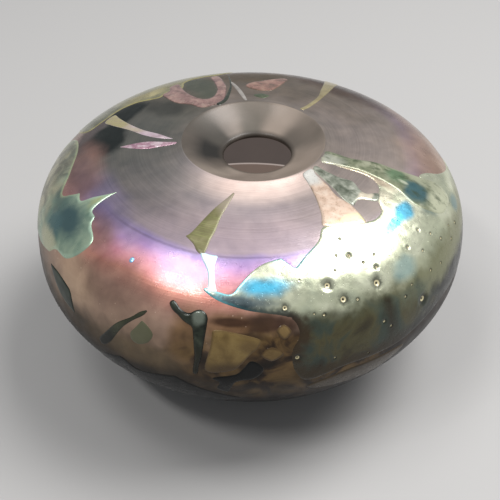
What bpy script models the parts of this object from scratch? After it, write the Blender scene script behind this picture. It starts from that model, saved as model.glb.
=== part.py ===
"""Art glass vessel: a flattened blown body with a funnel mouth, inlaid with bits of lustred coloured glass.

Everything is in metres with +Z up. The vessel stands on its ground foot at z = 0 on the Z axis.
A place on the outside of the vessel is given by its azimuth in degrees (0 is the front, -Y, and +90 is +X)
and by its drop, the distance in millimetres from the lip, measured down along the outside.
"""

import math

import bmesh
import bpy
from mathutils import Vector

MM = 0.001

# Driving dimensions of the vessel, in millimetres.
BODY_RADIUS = 65.0
EQUATOR_HEIGHT = 40.5
SHOULDER_RISE = 32.5
SHOULDER_POWER = 2.95
BELLY_FALL = 45.0
BELLY_POWER = 1.7
LIP_RADIUS = 21.3
LIP_HEIGHT = 73.0
LIP_FILLET = 4.0
LIP_ROUNDING = 0.5
THROAT_RADIUS = 10.0
THROAT_HEIGHT = 67.5
THROAT_NOSE = 1.0
FUNNEL_SLOPE = 24.0
CAVITY_RADIUS = 59.5
CAVITY_RISE = 25.5
CAVITY_FALL = 33.0
PONTIL_RADIUS = 14.0
PONTIL_DEPTH = 1.6

# Fit of the inlaid bits.
INLAY_THICKNESS = 0.9
FIT_GAP = 0.3
CUTTER_RISE = 1.6
SMOOTHING_STEPS = 2

# Facets of the turned surfaces.
TURN_STEPS = 46
OUTER_ROWS = 20
CAVITY_ROWS = 6

SHARP = True

LUSTRE = {
    "amethyst_glass": ((0.36, 0.31, 0.33), 0.12, 0.20),
    "silver_lustre": ((0.66, 0.68, 0.55), 0.22, 0.85),
    "salmon_lustre": ((0.72, 0.56, 0.46), 0.30, 0.55),
    "grey_veil": ((0.38, 0.38, 0.35), 0.30, 0.50),
    "green_lustre": ((0.30, 0.38, 0.28), 0.25, 0.70),
    "olive_glass": ((0.34, 0.33, 0.16), 0.30, 0.30),
    "sea_green_lustre": ((0.42, 0.52, 0.44), 0.25, 0.70),
    "dark_green_glass": ((0.10, 0.13, 0.10), 0.20, 0.40),
    "steel_green_glass": ((0.14, 0.19, 0.18), 0.18, 0.70),
    "blue_glass": ((0.20, 0.55, 0.70), 0.15, 0.30),
    "amber_glass": ((0.36, 0.27, 0.13), 0.20, 0.20),
    "slate_glass": ((0.07, 0.09, 0.10), 0.20, 0.40),
    "pink_lustre": ((0.68, 0.50, 0.54), 0.25, 0.60),
    "gold_lustre": ((0.62, 0.58, 0.36), 0.25, 0.75),
}

# Each inlaid bit: name, glass, how far it stands proud in millimetres, and its outline.
# An outline point is (azimuth, drop), or (azimuth, drop, SHARP) at a corner.
BITS = [
    # The front and the right side.
    ("silver_patch", "silver_lustre", 0.0, [
        (27, 20.5), (23, 24), (17, 27.4), (13, 30.4, SHARP), (9.5, 27, SHARP), (4, 28.2), (0, 30.8),
        (-3, 34.2), (-5, 36.6), (-8.5, 36.2), (-12, 35.6), (-12.3, 36.6), (-8, 38.9), (-1, 40.9),
        (5, 42), (10, 43.7), (11.5, 48), (9.5, 53), (10.5, 60), (14, 64.2), (23, 61.8), (39, 62.2),
        (56, 59.6), (82, 60), (98, 56), (108, 49), (100, 43), (88, 41.5), (77, 42), (70, 40.8),
        (64.2, 37), (61.4, 30), (63, 24), (62.6, 19.2), (57.8, 21.4), (51.5, 25.2), (43.5, 25.6, SHARP),
        (35, 22.2)]),
    ("silver_tail", "silver_lustre", 0.0, [
        (-16.6, 25.8, SHARP), (-13.4, 26.3), (-10, 26.4, SHARP), (-10.4, 30), (-9.5, 34.8),
        (-11.3, 34.9), (-12.4, 31.2), (-15, 28)]),
    ("salmon_strap", "salmon_lustre", 0.0, [
        (38.5, 1.1), (36, 4.3), (33, 10), (29.5, 16.5), (28, 18.9), (35, 21), (42, 24, SHARP),
        (44, 18.4), (42.4, 12.8), (44.5, 8.1), (46, 3.2), (48.8, 1.1)]),
    ("veil_strap", "grey_veil", 0.0, [
        (51, 1.4), (52, 4.2), (54, 8.5), (56.5, 12.4), (54.4, 15.8), (54.6, 18), (57, 20.2), (54, 21.2),
        (49, 17.4), (45.8, 17.4), (45.2, 14.5), (45.6, 10.5), (49, 4.1)]),
    ("green_strap", "green_lustre", 0.0, [
        (74.5, 1.1), (74, 8), (76.5, 15), (76.5, 22), (78, 29), (79, 35), (76, 39.4), (70, 38.6),
        (65.6, 34.5), (63.1, 29), (64.7, 23.5), (64.5, 17), (65, 11), (63, 5.5), (63.5, 1.2)]),
    ("olive_strap", "olive_glass", 0.0, [
        (-11, 4.5, SHARP), (-13.5, 8), (-13.3, 13), (-14, 18), (-14.6, 22), (-15.5, 24.9),
        (-21.5, 22.8), (-21.6, 18), (-20.2, 13.5), (-17, 8.5)]),
    # The left side.
    ("left_patch", "sea_green_lustre", 0.0, [
        (-60, 20.5, SHARP), (-62.5, 24.4), (-65, 28), (-66.8, 31.3), (-70.4, 30.6, SHARP),
        (-72.4, 33.4), (-75.4, 36), (-83, 32.8), (-94, 31.5), (-103, 34.5), (-107, 41), (-103, 48),
        (-94, 54), (-84, 56), (-77, 53), (-70, 51.2), (-63.5, 48.8, SHARP), (-60.5, 45.8), (-55, 44.9),
        (-51, 40.5), (-50, 35.5), (-55, 32.6), (-56.5, 30.6), (-59.6, 29.8), (-60.4, 25)]),
    ("left_leaf", "dark_green_glass", 0.0, [
        (-62, 50.8, SHARP), (-57, 55.4), (-53, 57.6), (-48, 58.6, SHARP), (-49, 54.4), (-50.6, 51.4),
        (-56.5, 50.2)]),
    ("olive_stroke", "dark_green_glass", 0.0, [
        (-25, 44.5, SHARP), (-27.2, 45.7), (-29.5, 48.2), (-33.3, 51.7), (-36.5, 56.4), (-39.3, 61),
        (-38, 62.7), (-35.3, 59.8), (-33, 55.4), (-31, 51.9), (-28.6, 49), (-26, 46.5)]),
    ("round_leaf", "olive_glass", 0.0, [
        (-26.4, 47.8, SHARP), (-28, 50.6), (-29.3, 52.9), (-29, 55.2), (-27, 56), (-24.3, 54.2),
        (-23, 51.2), (-24.4, 49.1)]),
    ("dark_drop", "steel_green_glass", 0.5, [
        (-20, 41, SHARP), (-19, 40.3), (-17, 41.1), (-15, 42.1), (-13, 41.7), (-11, 41.6), (-9.9, 43.2),
        (-10, 46.5), (-10.6, 52), (-12, 59.4), (-13.2, 62, SHARP), (-13.3, 51.5), (-14, 45.6),
        (-15.4, 43.6), (-17.4, 43.1)]),
    ("blue_dot", "blue_glass", 0.0, [
        (-36, 34.2), (-35, 33.1), (-34, 34.2), (-35, 35.3)]),
    # Low on the front.
    ("amber_patch", "amber_glass", 0.0, [
        (-9, 46.4, SHARP), (-6, 46), (2, 48), (2.2, 50.6), (0, 53.2), (-3, 57.8), (-6, 59.4), (-9, 60),
        (-10.6, 58.4), (-9.3, 51)]),
    ("amber_fleck_upper", "amber_glass", 0.0, [
        (6, 46.4), (8, 44.6), (9.9, 46.8), (8, 49)]),
    ("amber_fleck_lower", "amber_glass", 0.0, [
        (2.4, 53), (5, 50.6), (8, 53), (5, 55.4)]),
    ("amber_band", "amber_glass", 0.0, [
        (14.5, 66.3), (23, 63.5), (31, 63.4), (40, 64.2), (41, 66), (38, 69), (33, 72.5), (20, 71),
        (14.5, 69)]),
    ("base_trail_left", "slate_glass", 0.0, [
        (-39, 67), (-36, 65.3), (-33, 63.5, SHARP), (-31, 64.3), (-28.5, 66.5), (-22, 64.8),
        (-18, 63.4, SHARP), (-12, 67.4), (-6, 70.6), (-2, 73), (-6, 77.5), (-14, 80), (-24, 82),
        (-34, 81), (-41, 77), (-42.5, 71)]),
    ("base_trail_front", "slate_glass", 0.0, [
        (-9, 62.2), (-8, 61.2), (-5, 60.3), (-2.6, 59), (0, 54.8), (2.6, 56.2), (3.2, 58.6), (1, 61.5),
        (-3, 62.8), (-4.4, 66), (-5.4, 68.6), (-8, 66.6), (-7.3, 63.6)]),
    # Behind the mouth and at the back left.
    ("pink_streak_long", "pink_lustre", 0.0, [
        (-91.5, 1.2, SHARP), (-99, 6.4), (-103.4, 12), (-108.4, 17.4), (-114, 23.4), (-117, 27),
        (-111.5, 28), (-108, 23.9), (-103, 16.5), (-98, 11.4), (-94, 6.4)]),
    ("pink_streak_short", "pink_lustre", 0.0, [
        (-88, 1.3), (-90.4, 5.5), (-91.8, 10.2), (-90, 18.2, SHARP), (-84.6, 10.5), (-84.4, 5.5),
        (-85, 1.3)]),
    ("gold_edge_patch", "gold_lustre", 0.0, [
        (-109.5, 31), (-117, 28.6), (-124, 29.4), (-130, 30.2), (-134, 27.5), (-138, 23.4, SHARP),
        (-141, 27), (-148, 28), (-158, 27), (-168, 27.5), (-174, 34), (-168, 42), (-150, 47),
        (-130, 46), (-115, 42), (-109, 37)]),
    ("pink_patch", "pink_lustre", 0.0, [
        (-137, 20.6), (-134.5, 15), (-134, 11), (-137, 7), (-139.5, 2.6), (-148, 1.4), (-157, 1.8),
        (-160.8, 4.4), (-166, 11), (-167, 18), (-166.5, 25), (-162.8, 24.6), (-162, 18), (-160, 11.5),
        (-154.5, 7.4), (-148.5, 7.4), (-146, 11), (-146.4, 17), (-149.5, 24.8), (-144.5, 25),
        (-141.5, 21.6)]),
    ("back_sliver", "silver_lustre", 0.0, [
        (-169.2, 15.6), (-171.2, 15.8), (-175.8, 2.2), (-172.6, 2)]),
    ("back_fleck_pink", "pink_lustre", 0.0, [
        (182, 14.3), (173, 18), (165, 22), (163, 19), (167, 9.9), (176, 8.4), (183, 11)]),
    ("back_fleck_green", "green_lustre", 0.0, [
        (180, 4.9), (174, 6.6), (168, 5.2), (173, 2.9)]),
    ("gold_strap_back", "gold_lustre", 0.0, [
        (141, 1.3), (141, 5.3), (142.5, 12.5), (146.5, 19.5), (151, 30), (153, 36), (148, 36.4),
        (145, 28), (140.5, 16), (137.5, 7), (137, 1.4)]),
    # Round the back.
    ("back_patch", "silver_lustre", 0.0, [
        (138, 40.5), (150, 38.2), (160, 40), (172, 37.5), (183, 42), (186, 50), (176, 56), (165, 53),
        (152, 58), (139, 55), (131, 48)]),
    ("back_leaf", "dark_green_glass", 0.0, [
        (112, 60, SHARP), (119, 59), (125, 62), (126, 67), (120, 68.5), (114.5, 65)]),
    ("back_drop", "steel_green_glass", 0.5, [
        (-127, 51), (-124.5, 53), (-126, 58), (-130, 64), (-134, 68, SHARP), (-131.5, 60), (-130, 54)]),
    ("base_trail_back", "slate_glass", 0.0, [
        (150, 66), (160, 69), (172, 66.5), (184, 68), (190, 73), (180, 77.5), (166, 79), (152, 76),
        (145, 71)]),
]


def clear_scene():
    for old in list(bpy.data.objects):
        bpy.data.objects.remove(old, do_unlink=True)


def new_collection(name):
    collection = bpy.data.collections.new(name)
    bpy.context.scene.collection.children.link(collection)
    return collection


def new_material(name, colour, roughness, metallic):
    material = bpy.data.materials.new(name)
    material.use_nodes = True
    shader = material.node_tree.nodes["Principled BSDF"]
    shader.inputs["Base Color"].default_value = (*colour, 1.0)
    shader.inputs["Roughness"].default_value = roughness
    shader.inputs["Metallic"].default_value = metallic
    material.diffuse_color = (*colour, 1.0)
    return material


def new_object(name, mesh, collection, material=None):
    made = bpy.data.objects.new(name, mesh)
    collection.objects.link(made)
    if material is not None:
        mesh.materials.append(material)
    return made


# ---- the outside of the vessel -------------------------------------------------------------------------

def shoulder_height(radius):
    """Height of the upper outside at a radius, with the lip's fillet."""
    def plain(at):
        share = (1 - (at / BODY_RADIUS) ** SHOULDER_POWER) ** (1 / SHOULDER_POWER)
        return EQUATOR_HEIGHT + SHOULDER_RISE * share
    lip_rise = LIP_HEIGHT - plain(LIP_RADIUS)
    blend = max(0.0, 1 - (radius - LIP_RADIUS) / LIP_FILLET)
    return plain(radius) + lip_rise * blend ** 2


def fine_outside(count=1500):
    """Closely spaced (radius, height) points down the outside, from the lip to the foot."""
    points = []
    for i in range(count + 1):
        angle = math.pi / 2 * i / count
        radius = BODY_RADIUS * math.sin(angle) ** (2 / SHOULDER_POWER)
        if radius > LIP_RADIUS:
            points.append((radius, shoulder_height(min(radius, BODY_RADIUS))))
    for i in range(1, count + 1):
        angle = math.pi / 2 * i / count
        radius = BODY_RADIUS * math.cos(angle) ** (2 / BELLY_POWER)
        height = EQUATOR_HEIGHT - BELLY_FALL * math.sin(angle) ** (2 / BELLY_POWER)
        if height > 0:
            points.append((radius, height))
    return [(LIP_RADIUS, LIP_HEIGHT)] + points


def resample(points, rows):
    """The same line as rows + 1 points, evenly spaced along it, and the length of the line."""
    lengths = [0.0]
    for a, b in zip(points, points[1:]):
        lengths.append(lengths[-1] + math.dist(a, b))
    total = lengths[-1]
    made = []
    k = 0
    for i in range(rows + 1):
        wanted = total * i / rows
        while k < len(points) - 2 and lengths[k + 1] < wanted:
            k += 1
        part = (wanted - lengths[k]) / (lengths[k + 1] - lengths[k])
        a, b = points[k], points[k + 1]
        made.append((a[0] + (b[0] - a[0]) * part, a[1] + (b[1] - a[1]) * part))
    return made, total


OUTSIDE, OUTSIDE_LENGTH = resample(fine_outside(), OUTER_ROWS)
ROW_STEP = OUTSIDE_LENGTH / OUTER_ROWS
TURN_STEP = 360.0 / TURN_STEPS
FIRST_TURN = 90.0


def on_glass(azimuth, drop):
    """Point in metres on the facets of the outside."""
    row = min(int(drop / ROW_STEP), OUTER_ROWS - 1)
    down = drop / ROW_STEP - row
    turns = (azimuth - FIRST_TURN) / TURN_STEP
    turn = math.floor(turns)
    across = turns - turn
    point = Vector((0, 0, 0))
    for (radius, height), row_share in ((OUTSIDE[row], 1 - down), (OUTSIDE[row + 1], down)):
        for j, turn_share in ((turn, 1 - across), (turn + 1, across)):
            angle = math.radians(FIRST_TURN + j * TURN_STEP)
            corner = Vector((radius * math.sin(angle), -radius * math.cos(angle), height))
            point += corner * row_share * turn_share
    return point * MM


# ---- outlines of the inlaid bits -----------------------------------------------------------------------

def smooth_outline(points):
    """A closed curve through the points, straight into and out of each sharp corner."""
    count = len(points)
    smooth = []
    for i in range(count):
        start, end = points[i], points[(i + 1) % count]
        before = start if len(start) > 2 else points[i - 1]
        after = end if len(end) > 2 else points[(i + 2) % count]
        for step in range(SMOOTHING_STEPS):
            t = step / SMOOTHING_STEPS
            place = []
            for axis in (0, 1):
                p0, p1, p2, p3 = before[axis], start[axis], end[axis], after[axis]
                place.append(0.5 * (2 * p1 + (p2 - p0) * t + (2 * p0 - 5 * p1 + 4 * p2 - p3) * t ** 2
                                    + (3 * p1 - p0 - 3 * p2 + p3) * t ** 3))
            smooth.append(tuple(place))
    return smooth


def local_radius(drop):
    row = min(int(drop / ROW_STEP), OUTER_ROWS - 1)
    down = drop / ROW_STEP - row
    return OUTSIDE[row][0] * (1 - down) + OUTSIDE[row + 1][0] * down


def signed_area(outline):
    return sum(a[0] * b[1] - b[0] * a[1] for a, b in zip(outline, outline[1:] + outline[:1])) / 2


def grown_outline(outline, gap):
    """The outline moved outward by gap millimetres, measured on the glass."""
    outward_sign = 1 if signed_area(outline) > 0 else -1
    count = len(outline)
    grown = []
    for i, (azimuth, drop) in enumerate(outline):
        degree = math.radians(1) * local_radius(drop)
        sides = []
        for a, b in ((outline[i - 1], outline[i]), (outline[i], outline[(i + 1) % count])):
            along = Vector(((b[0] - a[0]) * degree, b[1] - a[1])).normalized()
            sides.append(Vector((along.y, -along.x)) * outward_sign)
        middle = (sides[0] + sides[1]).normalized()
        reach = gap / max(middle.dot(sides[0]), 0.5)
        grown.append((azimuth + middle.x * reach / degree, drop + middle.y * reach))
    return grown


def glass_sheet(name, outline):
    """Open mesh that covers the outline on the outside of the vessel, cut along the vessel's facets."""
    if signed_area(outline) > 0:
        outline = outline[::-1]
    bm = bmesh.new()
    bm.faces.new([bm.verts.new((azimuth, drop, 0)) for azimuth, drop in outline])
    lowest_turn = math.ceil((min(p[0] for p in outline) - FIRST_TURN) / TURN_STEP)
    highest_turn = math.floor((max(p[0] for p in outline) - FIRST_TURN) / TURN_STEP)
    lowest_row = math.ceil(min(p[1] for p in outline) / ROW_STEP)
    highest_row = math.floor(max(p[1] for p in outline) / ROW_STEP)
    turns = range(lowest_turn, highest_turn + 1)
    cuts = [((FIRST_TURN + i * TURN_STEP, 0, 0), (1, 0, 0)) for i in turns]
    cuts += [((0, i * ROW_STEP, 0), (0, 1, 0)) for i in range(lowest_row, highest_row + 1)]
    for place, normal in cuts:
        everything = bm.verts[:] + bm.edges[:] + bm.faces[:]
        bmesh.ops.bisect_plane(bm, geom=everything, dist=0.02, plane_co=place, plane_no=normal)
    for vertex in bm.verts:
        vertex.co = on_glass(vertex.co.x, vertex.co.y)
    mesh = bpy.data.meshes.new(name)
    bm.to_mesh(mesh)
    bm.free()
    return mesh


def thicken(made, above, below):
    """Give an open sheet its thickness: this far above the glass and this far into it, in millimetres."""
    solid = made.modifiers.new("thickness", "SOLIDIFY")
    solid.thickness = (above + below) * MM
    solid.offset = (above - below) / (above + below)


def add_bit(name, glass, proud, points, parts, cutters, materials):
    """One inlaid bit of glass, and the cutter of the seat that it lies in."""
    outline = smooth_outline(points)
    bit = new_object(name, glass_sheet(name, outline), parts, materials[glass])
    thicken(bit, proud, INLAY_THICKNESS)
    seat_outline = grown_outline(outline, FIT_GAP)
    seat = new_object(name + "_seat", glass_sheet(name + "_seat", seat_outline), cutters)
    thicken(seat, CUTTER_RISE, INLAY_THICKNESS + FIT_GAP)
    seat.display_type = "WIRE"
    seat.hide_render = True


# ---- the vessel ----------------------------------------------------------------------------------------

def cavity_profile():
    """Inside of the vessel as (radius, height), from the middle of its floor up to the throat."""
    points = []
    for i in range(CAVITY_ROWS + 1):
        angle = math.pi / 2 * i / CAVITY_ROWS
        points.append((CAVITY_RADIUS * math.sin(angle), EQUATOR_HEIGHT - CAVITY_FALL * math.cos(angle)))
    for i in range(1, CAVITY_ROWS):
        angle = math.pi / 2 * (1 - i / CAVITY_ROWS)
        radius = CAVITY_RADIUS * math.sin(angle) ** (2 / SHOULDER_POWER)
        height = EQUATOR_HEIGHT + CAVITY_RISE * math.cos(angle) ** (2 / SHOULDER_POWER)
        points.append((radius, height))
    return points


def mouth_profile():
    """Rounded edge of the throat, then the straight funnel up to the lip."""
    middle = THROAT_RADIUS + THROAT_NOSE
    points = [(middle + THROAT_NOSE, EQUATOR_HEIGHT + CAVITY_RISE)]
    steps = 4
    for i in range(steps + 1):
        angle = math.radians(270 + (90 + FUNNEL_SLOPE - 270) * i / steps)
        points.append((middle + THROAT_NOSE * math.cos(angle), THROAT_HEIGHT + THROAT_NOSE * math.sin(angle)))
    lip_drop = LIP_ROUNDING * math.tan(math.radians(FUNNEL_SLOPE))
    points.append((LIP_RADIUS - LIP_ROUNDING, LIP_HEIGHT - lip_drop))
    return points


def foot_profile():
    """Flat ground foot, then the shallow polished hollow in its middle."""
    points = [(OUTSIDE[-1][0], 0.0), (PONTIL_RADIUS, 0.0)]
    steps = 3
    for i in range(1, steps):
        angle = math.pi / 2 * i / steps
        points.append((PONTIL_RADIUS * math.cos(angle), PONTIL_DEPTH * math.sin(angle)))
    return points + [(0.0, PONTIL_DEPTH)]


def add_vessel(parts, cutters, material):
    profile = cavity_profile() + mouth_profile() + OUTSIDE[:-1] + foot_profile()
    mesh = bpy.data.meshes.new("vessel_body")
    vertices = [(radius * MM, 0, height * MM) for radius, height in profile]
    edges = [(i, i + 1) for i in range(len(profile) - 1)]
    mesh.from_pydata(vertices, edges, [])
    vessel = new_object("vessel_body", mesh, parts, material)
    turn = vessel.modifiers.new("turn", "SCREW")
    turn.steps = TURN_STEPS
    turn.render_steps = TURN_STEPS
    turn.use_merge_vertices = True
    turn.merge_threshold = 0.00001
    turn.use_smooth_shade = True
    seats = vessel.modifiers.new("seats", "BOOLEAN")
    seats.operation = "DIFFERENCE"
    seats.operand_type = "COLLECTION"
    seats.collection = cutters
    seats.solver = "EXACT"
    return vessel


def main():
    clear_scene()
    parts = new_collection("art_glass_vessel")
    cutters = new_collection("seat_cutters")
    materials = {name: new_material(name, *look) for name, look in LUSTRE.items()}
    for name, glass, proud, points in BITS:
        add_bit(name, glass, proud, points, parts, cutters, materials)
    add_vessel(parts, cutters, materials["amethyst_glass"])


main()
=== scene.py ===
"""Looks of the art glass vessel: a flattened lustred body with a funnel mouth and melted-in bits of coloured glass.

Places on the outside are (azimuth, drop): degrees round from the front, positive to the right, and millimetres
down the outside from the lip. All lengths are in millimetres until mesh_object makes a mesh of them.
"""
import math
import bpy
import numpy as np
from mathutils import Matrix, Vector
from mathutils.geometry import delaunay_2d_cdt


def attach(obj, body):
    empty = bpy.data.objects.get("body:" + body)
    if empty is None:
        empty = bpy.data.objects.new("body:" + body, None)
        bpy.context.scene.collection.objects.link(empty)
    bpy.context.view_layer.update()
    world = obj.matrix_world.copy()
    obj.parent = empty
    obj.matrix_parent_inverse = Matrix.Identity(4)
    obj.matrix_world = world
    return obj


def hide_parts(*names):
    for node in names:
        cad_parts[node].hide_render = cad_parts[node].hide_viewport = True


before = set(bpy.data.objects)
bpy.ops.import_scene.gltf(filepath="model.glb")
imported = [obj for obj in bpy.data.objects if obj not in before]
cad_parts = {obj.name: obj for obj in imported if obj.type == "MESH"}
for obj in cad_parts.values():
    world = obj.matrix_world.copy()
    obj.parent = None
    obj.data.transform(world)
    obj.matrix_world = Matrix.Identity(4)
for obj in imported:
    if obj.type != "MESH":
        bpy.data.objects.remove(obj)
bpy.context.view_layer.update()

MM = 0.001

# ---- the vessel's driving dimensions, as in the CAD ----
BODY_RADIUS = 65.0
EQUATOR_HEIGHT = 40.5
SHOULDER_RISE = 32.5
SHOULDER_POWER = 2.95
BELLY_FALL = 45.0
BELLY_POWER = 1.7
LIP_RADIUS = 21.3
LIP_HEIGHT = 73.0
LIP_FILLET = 4.0
THROAT_RADIUS = 10.0
THROAT_HEIGHT = 67.5
THROAT_NOSE = 1.0
FUNNEL_SLOPE = 24.0
CAVITY_RADIUS = 59.5
CAVITY_RISE = 25.5
CAVITY_FALL = 33.0
PONTIL_RADIUS = 14.0
PONTIL_DEPTH = 1.6

# ---- what only the looks need ----
OUTSIDE, MOUTH, INSIDE, FOOT, LIT_LOW_INSIDE, INSIDE_GLINT = range(6)     # the vessel's zones, one material each
TURN_STEPS = 288
MOUTH_SHIFT = 1.0          # the mouth was spun slightly to the right of the axis
THROAT_SHIFT = 1.2         # and the throat a little further
SHIFT_FADE = 45.0          # the drop where that shift has faded out
INSIDE_SHIFT = (45, 22)    # inside it starts at this height, and is whole this much higher
LIP_ROUND = ((0.6, 0.12), (0.3, 0.01))     # how far in and down the funnel ends and the lip turns
FUNNEL_SAG = 0.35
INSIDE_DROP = 60           # the drop that the inside's colours are taken at
LIT_LOW_TOP = 26.6         # the paler, brighter-glowing inside below, painted light, ends here in a thin painted highlight line
GLINT_WIDTH = 0.4
WOBBLE = 0.11              # how far hand work leaves the outside uneven
WAVE_SUM = 1.95            # the height of all its waves together
SLOPE_STEP = 0.2           # half the drop over which the outside's slope is taken
BIT_DEPTH = 0.8            # how deep a bit reaches into the wall
EDGE_TUCK = 0.10           # how far a bit's outline lies under the wall's skin
EDGE_ROUNDING = 0.8        # width of a bit's melted edge
EDGE_RINGS = (0.25, 0.55, 0.95)            # rings of points this far inside a bit's outline
EDGE_CLEAR = 0.2           # nothing else stands nearer to the outline
CRATER_RINGS = ((0.22, 6), (0.45, 10), (0.7, 14), (0.9, 18), (1.1, 20), (1.35, 20), (1.8, 16))
CRATER_CLEAR = 2.1         # the share of a crater's size that its own rings fill
NO_PIT = 3.0               # the reach from a crater where there is none
SEAT_DEPTH = 0.9           # the wall is hollowed this deep under the pitted bits
SEAT_MARGIN = 1.2          # from this far inside their outlines
PITTED = ("silver_patch", "back_patch")
SHARP = True

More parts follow.
